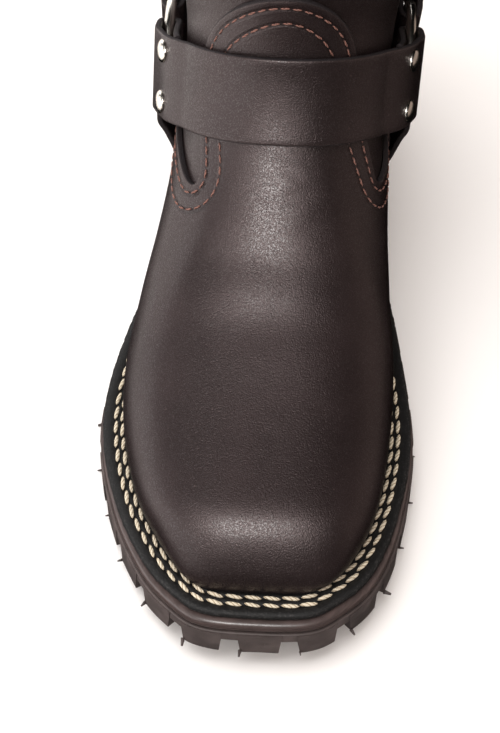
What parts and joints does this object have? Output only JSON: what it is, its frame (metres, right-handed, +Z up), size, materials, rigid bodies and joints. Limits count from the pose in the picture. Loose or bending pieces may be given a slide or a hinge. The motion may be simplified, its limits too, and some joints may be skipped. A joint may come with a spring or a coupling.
{
  "type": "harness boot",
  "caption": "Square-toed leather harness boot for the right foot, open at the shaft, with strap and ring harness, stitched welt ledge and lugged rubber sole with heel.",
  "frame": {"origin": "on the floor under the middle of the boot's bounding box", "axes": "+Z up the shaft, -Y to the toe and +Y to the heel, -X to the outer side and +X to the inner side of the right foot"},
  "size_m": [0.1186, 0.3052, 0.2828],
  "materials": {
    "leather": "smooth oiled dark brown leather, soft sheen",
    "edge_leather": "black dyed welt leather, rough cut edge",
    "midsole_leather": "burnished grey-brown sole leather",
    "board": "plain tan insole leather",
    "rubber": "dark brown-black moulded rubber, matt",
    "nickel": "polished nickel plate"
  },
  "bodies": {
    "root": {"upper": "leather", "vamp": "leather", "insole": "board", "welt": "edge_leather", "midsole": "midsole_leather", "outsole": "rubber", "heel": "rubber", "instep_strap": "leather", "heel_strap": "leather", "down_strap_lateral": "leather", "down_strap_medial": "leather", "ring_lateral": "nickel", "ring_medial": "nickel", "rivet_instep_strap_lateral_low": "nickel", "rivet_instep_strap_lateral_high": "nickel", "rivet_instep_strap_medial_low": "nickel", "rivet_instep_strap_medial_high": "nickel", "rivet_heel_strap_lateral_low": "nickel", "rivet_heel_strap_lateral_high": "nickel", "rivet_heel_strap_medial_low": "nickel", "rivet_heel_strap_medial_high": "nickel", "rivet_down_strap_lateral": "nickel", "rivet_down_strap_medial": "nickel"}
  },
  "joints": []
}
